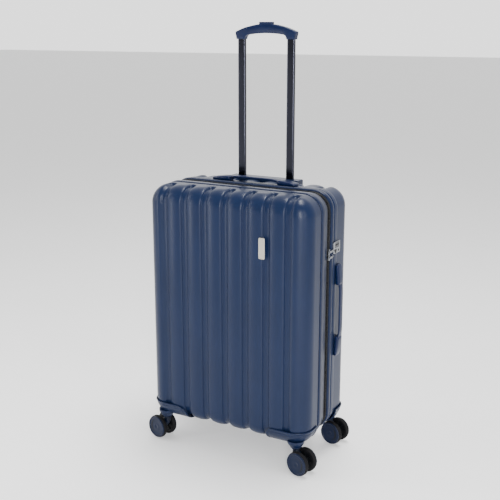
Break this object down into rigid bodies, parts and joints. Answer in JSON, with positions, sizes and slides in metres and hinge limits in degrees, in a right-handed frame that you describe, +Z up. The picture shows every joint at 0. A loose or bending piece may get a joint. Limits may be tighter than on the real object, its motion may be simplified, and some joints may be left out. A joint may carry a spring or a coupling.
{
  "type": "hard shell suitcase",
  "caption": "Upright ribbed hard shell suitcase with zip closure, pull-out trolley handle, carry handles, side lock and swivelling twin-wheel casters.",
  "frame": {"origin": "on the floor under the middle of the case, with the casters trailing outwards and the trolley pulled out", "axes": "+X towards the side with the lock and the side handle, +Y from the ribbed front face to the back face with the trolley, +Z up"},
  "size_m": [0.4708, 0.2578, 1.0405],
  "materials": {
    "shell_blue": "satin gloss moulded shell",
    "trim_blue": "satin moulded plastic",
    "grip_blue": "soft satin plastic",
    "fork_blue": "satin moulded plastic",
    "tube_black": "polished black anodised",
    "guide_aluminium": "mill finish",
    "inner_black": "matt",
    "steel": "drawn wire and pin stock",
    "hub_blue": "satin gloss",
    "tyre_black": "matt rubber",
    "lock_chrome": "bright plated zinc",
    "dial_black": "matt",
    "badge_silver": "brushed champagne silver",
    "zip_fabric": "woven zip tape",
    "lining_fabric": "plain woven polyester lining",
    "strap_fabric": "webbing"
  },
  "bodies": {
    "back_half": {"back_shell": "shell_blue", "back_rim_bead": "trim_blue", "zip_tape_back": "zip_fabric", "lock_case": "lock_chrome", "top_handle_mounts": "trim_blue", "side_handle_mounts": "trim_blue", "trolley_bezel": "trim_blue", "guide_tubes": "guide_aluminium", "guide_foot": "inner_black", "cross_straps": "strap_fabric", "strap_buckle": "inner_black", "fabric_hinge": "lining_fabric", "caster_housing_back_left": "trim_blue", "caster_housing_back_right": "trim_blue"},
    "front_half": {"front_shell": "shell_blue", "front_rim_bead": "trim_blue", "zip_tape_front": "zip_fabric", "badge": "badge_silver", "divider_panel": "lining_fabric", "caster_housing_front_left": "trim_blue", "caster_housing_front_right": "trim_blue"},
    "trolley": {"inner_tubes": "tube_black", "trolley_grip": "grip_blue"},
    "trolley_button": {"trolley_button": "grip_blue", "release_yoke": "inner_black", "push_rods": "steel"},
    "latch_pin_left": {"latch_pin_left": "steel"},
    "latch_pin_right": {"latch_pin_right": "steel"},
    "top_handle": {"top_handle_grip": "trim_blue"},
    "side_handle": {"side_handle_grip": "trim_blue"},
    "lock_button": {"lock_button": "dial_black"},
    "zip_slider_lower": {"zip_slider_lower": "lock_chrome"},
    "zip_slider_upper": {"zip_slider_upper": "lock_chrome"},
    "lock_dial_1": {"lock_dial_1": "dial_black"},
    "lock_dial_2": {"lock_dial_2": "dial_black"},
    "lock_dial_3": {"lock_dial_3": "dial_black"},
    "caster_front_left": {"caster_fork_front_left": "fork_blue", "caster_axle_front_left": "steel"},
    "wheel_front_left_fore": {"wheel_hub_front_left_fore": "hub_blue", "tyre_front_left_fore": "tyre_black"},
    "wheel_front_left_aft": {"wheel_hub_front_left_aft": "hub_blue", "tyre_front_left_aft": "tyre_black"},
    "caster_front_right": {"caster_fork_front_right": "fork_blue", "caster_axle_front_right": "steel"},
    "wheel_front_right_fore": {"wheel_hub_front_right_fore": "hub_blue", "tyre_front_right_fore": "tyre_black"},
    "wheel_front_right_aft": {"wheel_hub_front_right_aft": "hub_blue", "tyre_front_right_aft": "tyre_black"},
    "caster_back_left": {"caster_fork_back_left": "fork_blue", "caster_axle_back_left": "steel"},
    "wheel_back_left_fore": {"wheel_hub_back_left_fore": "hub_blue", "tyre_back_left_fore": "tyre_black"},
    "wheel_back_left_aft": {"wheel_hub_back_left_aft": "hub_blue", "tyre_back_left_aft": "tyre_black"},
    "caster_back_right": {"caster_fork_back_right": "fork_blue", "caster_axle_back_right": "steel"},
    "wheel_back_right_fore": {"wheel_hub_back_right_fore": "hub_blue", "tyre_back_right_fore": "tyre_black"},
    "wheel_back_right_aft": {"wheel_hub_back_right_aft": "hub_blue", "tyre_back_right_aft": "tyre_black"}
  },
  "joints": [
    {"name": "case_opening", "type": "hinge", "parent": "back_half", "child": "front_half", "pos_m": [-0.24, -0.005, 0.36], "axis": [0, 0, -1], "range_deg": [0, 180]},
    {"name": "trolley_slide", "type": "slide", "parent": "back_half", "child": "trolley", "axis": [0, 0, 1], "range_m": [-0.331, 0]},
    {"name": "trolley_button_press", "type": "slide", "parent": "trolley", "child": "trolley_button", "axis": [0, 0, -1], "range_m": [0, 0.003], "stiffness_N_per_m": 900, "springref_m": -0.003},
    {"name": "latch_pin_left_draw", "type": "slide", "parent": "trolley", "child": "latch_pin_left", "axis": [1, 0, 0], "range_m": [0, 0.003]},
    {"name": "latch_pin_right_draw", "type": "slide", "parent": "trolley", "child": "latch_pin_right", "axis": [-1, 0, 0], "range_m": [0, 0.003]},
    {"name": "top_handle_lift", "type": "slide", "parent": "back_half", "child": "top_handle", "axis": [0, 0, 1], "range_m": [0, 0.005], "stiffness_N_per_m": 600, "springref_m": -0.002},
    {"name": "side_handle_pull", "type": "slide", "parent": "back_half", "child": "side_handle", "axis": [1, 0, 0], "range_m": [0, 0.005], "stiffness_N_per_m": 600, "springref_m": -0.002},
    {"name": "lock_button_slide", "type": "slide", "parent": "back_half", "child": "lock_button", "axis": [0, 0, -1], "range_m": [0, 0.003], "stiffness_N_per_m": 300, "springref_m": -0.001},
    {"name": "zip_slider_lower_run", "type": "slide", "parent": "back_half", "child": "zip_slider_lower", "axis": [0, 0, -1], "range_m": [0, 0.37]},
    {"name": "zip_slider_upper_run", "type": "slide", "parent": "back_half", "child": "zip_slider_upper", "axis": [0, 0, 1], "range_m": [0, 0.085]},
    {"name": "lock_dial_1_spin", "type": "hinge", "parent": "back_half", "child": "lock_dial_1", "pos_m": [0.2168, 0.039, 0.533], "axis": [0, 1, 0], "continuous": true},
    {"name": "lock_dial_2_spin", "type": "hinge", "parent": "back_half", "child": "lock_dial_2", "pos_m": [0.2168, 0.032, 0.533], "axis": [0, 1, 0], "continuous": true},
    {"name": "lock_dial_3_spin", "type": "hinge", "parent": "back_half", "child": "lock_dial_3", "pos_m": [0.2168, 0.025, 0.533], "axis": [0, 1, 0], "continuous": true},
    {"name": "caster_swivel_front_left", "type": "hinge", "parent": "front_half", "child": "caster_front_left", "pos_m": [-0.184, -0.096, 0.06], "axis": [0, 0, 1], "continuous": true},
    {"name": "wheel_spin_front_left_fore", "type": "hinge", "parent": "caster_front_left", "child": "wheel_front_left_fore", "pos_m": [-0.20258, -0.09205, 0.0295], "axis": [0.2079, 0.9781, 0], "continuous": true},
    {"name": "wheel_spin_front_left_aft", "type": "hinge", "parent": "caster_front_left", "child": "wheel_front_left_aft", "pos_m": [-0.20258, -0.09205, 0.0295], "axis": [0.2079, 0.9781, 0], "continuous": true},
    {"name": "caster_swivel_front_right", "type": "hinge", "parent": "front_half", "child": "caster_front_right", "pos_m": [0.184, -0.096, 0.06], "axis": [0, 0, 1], "continuous": true},
    {"name": "wheel_spin_front_right_fore", "type": "hinge", "parent": "caster_front_right", "child": "wheel_front_right_fore", "pos_m": [0.20258, -0.09995, 0.0295], "axis": [0.2079, 0.9781, 0], "continuous": true},
    {"name": "wheel_spin_front_right_aft", "type": "hinge", "parent": "caster_front_right", "child": "wheel_front_right_aft", "pos_m": [0.20258, -0.09995, 0.0295], "axis": [0.2079, 0.9781, 0], "continuous": true},
    {"name": "caster_swivel_back_left", "type": "hinge", "parent": "back_half", "child": "caster_back_left", "pos_m": [-0.184, 0.096, 0.06], "axis": [0, 0, 1], "continuous": true},
    {"name": "wheel_spin_back_left_fore", "type": "hinge", "parent": "caster_back_left", "child": "wheel_back_left_fore", "pos_m": [-0.20258, 0.09995, 0.0295], "axis": [0.2079, 0.9781, 0], "continuous": true},
    {"name": "wheel_spin_back_left_aft", "type": "hinge", "parent": "caster_back_left", "child": "wheel_back_left_aft", "pos_m": [-0.20258, 0.09995, 0.0295], "axis": [0.2079, 0.9781, 0], "continuous": true},
    {"name": "caster_swivel_back_right", "type": "hinge", "parent": "back_half", "child": "caster_back_right", "pos_m": [0.184, 0.096, 0.06], "axis": [0, 0, 1], "continuous": true},
    {"name": "wheel_spin_back_right_fore", "type": "hinge", "parent": "caster_back_right", "child": "wheel_back_right_fore", "pos_m": [0.20258, 0.09205, 0.0295], "axis": [0.2079, 0.9781, 0], "continuous": true},
    {"name": "wheel_spin_back_right_aft", "type": "hinge", "parent": "caster_back_right", "child": "wheel_back_right_aft", "pos_m": [0.20258, 0.09205, 0.0295], "axis": [0.2079, 0.9781, 0], "continuous": true}
  ],
  "couplings": [
    {"joint": "latch_pin_left_draw", "follows": "trolley_button_press", "ratio": 1},
    {"joint": "latch_pin_right_draw", "follows": "trolley_button_press", "ratio": 1}
  ]
}
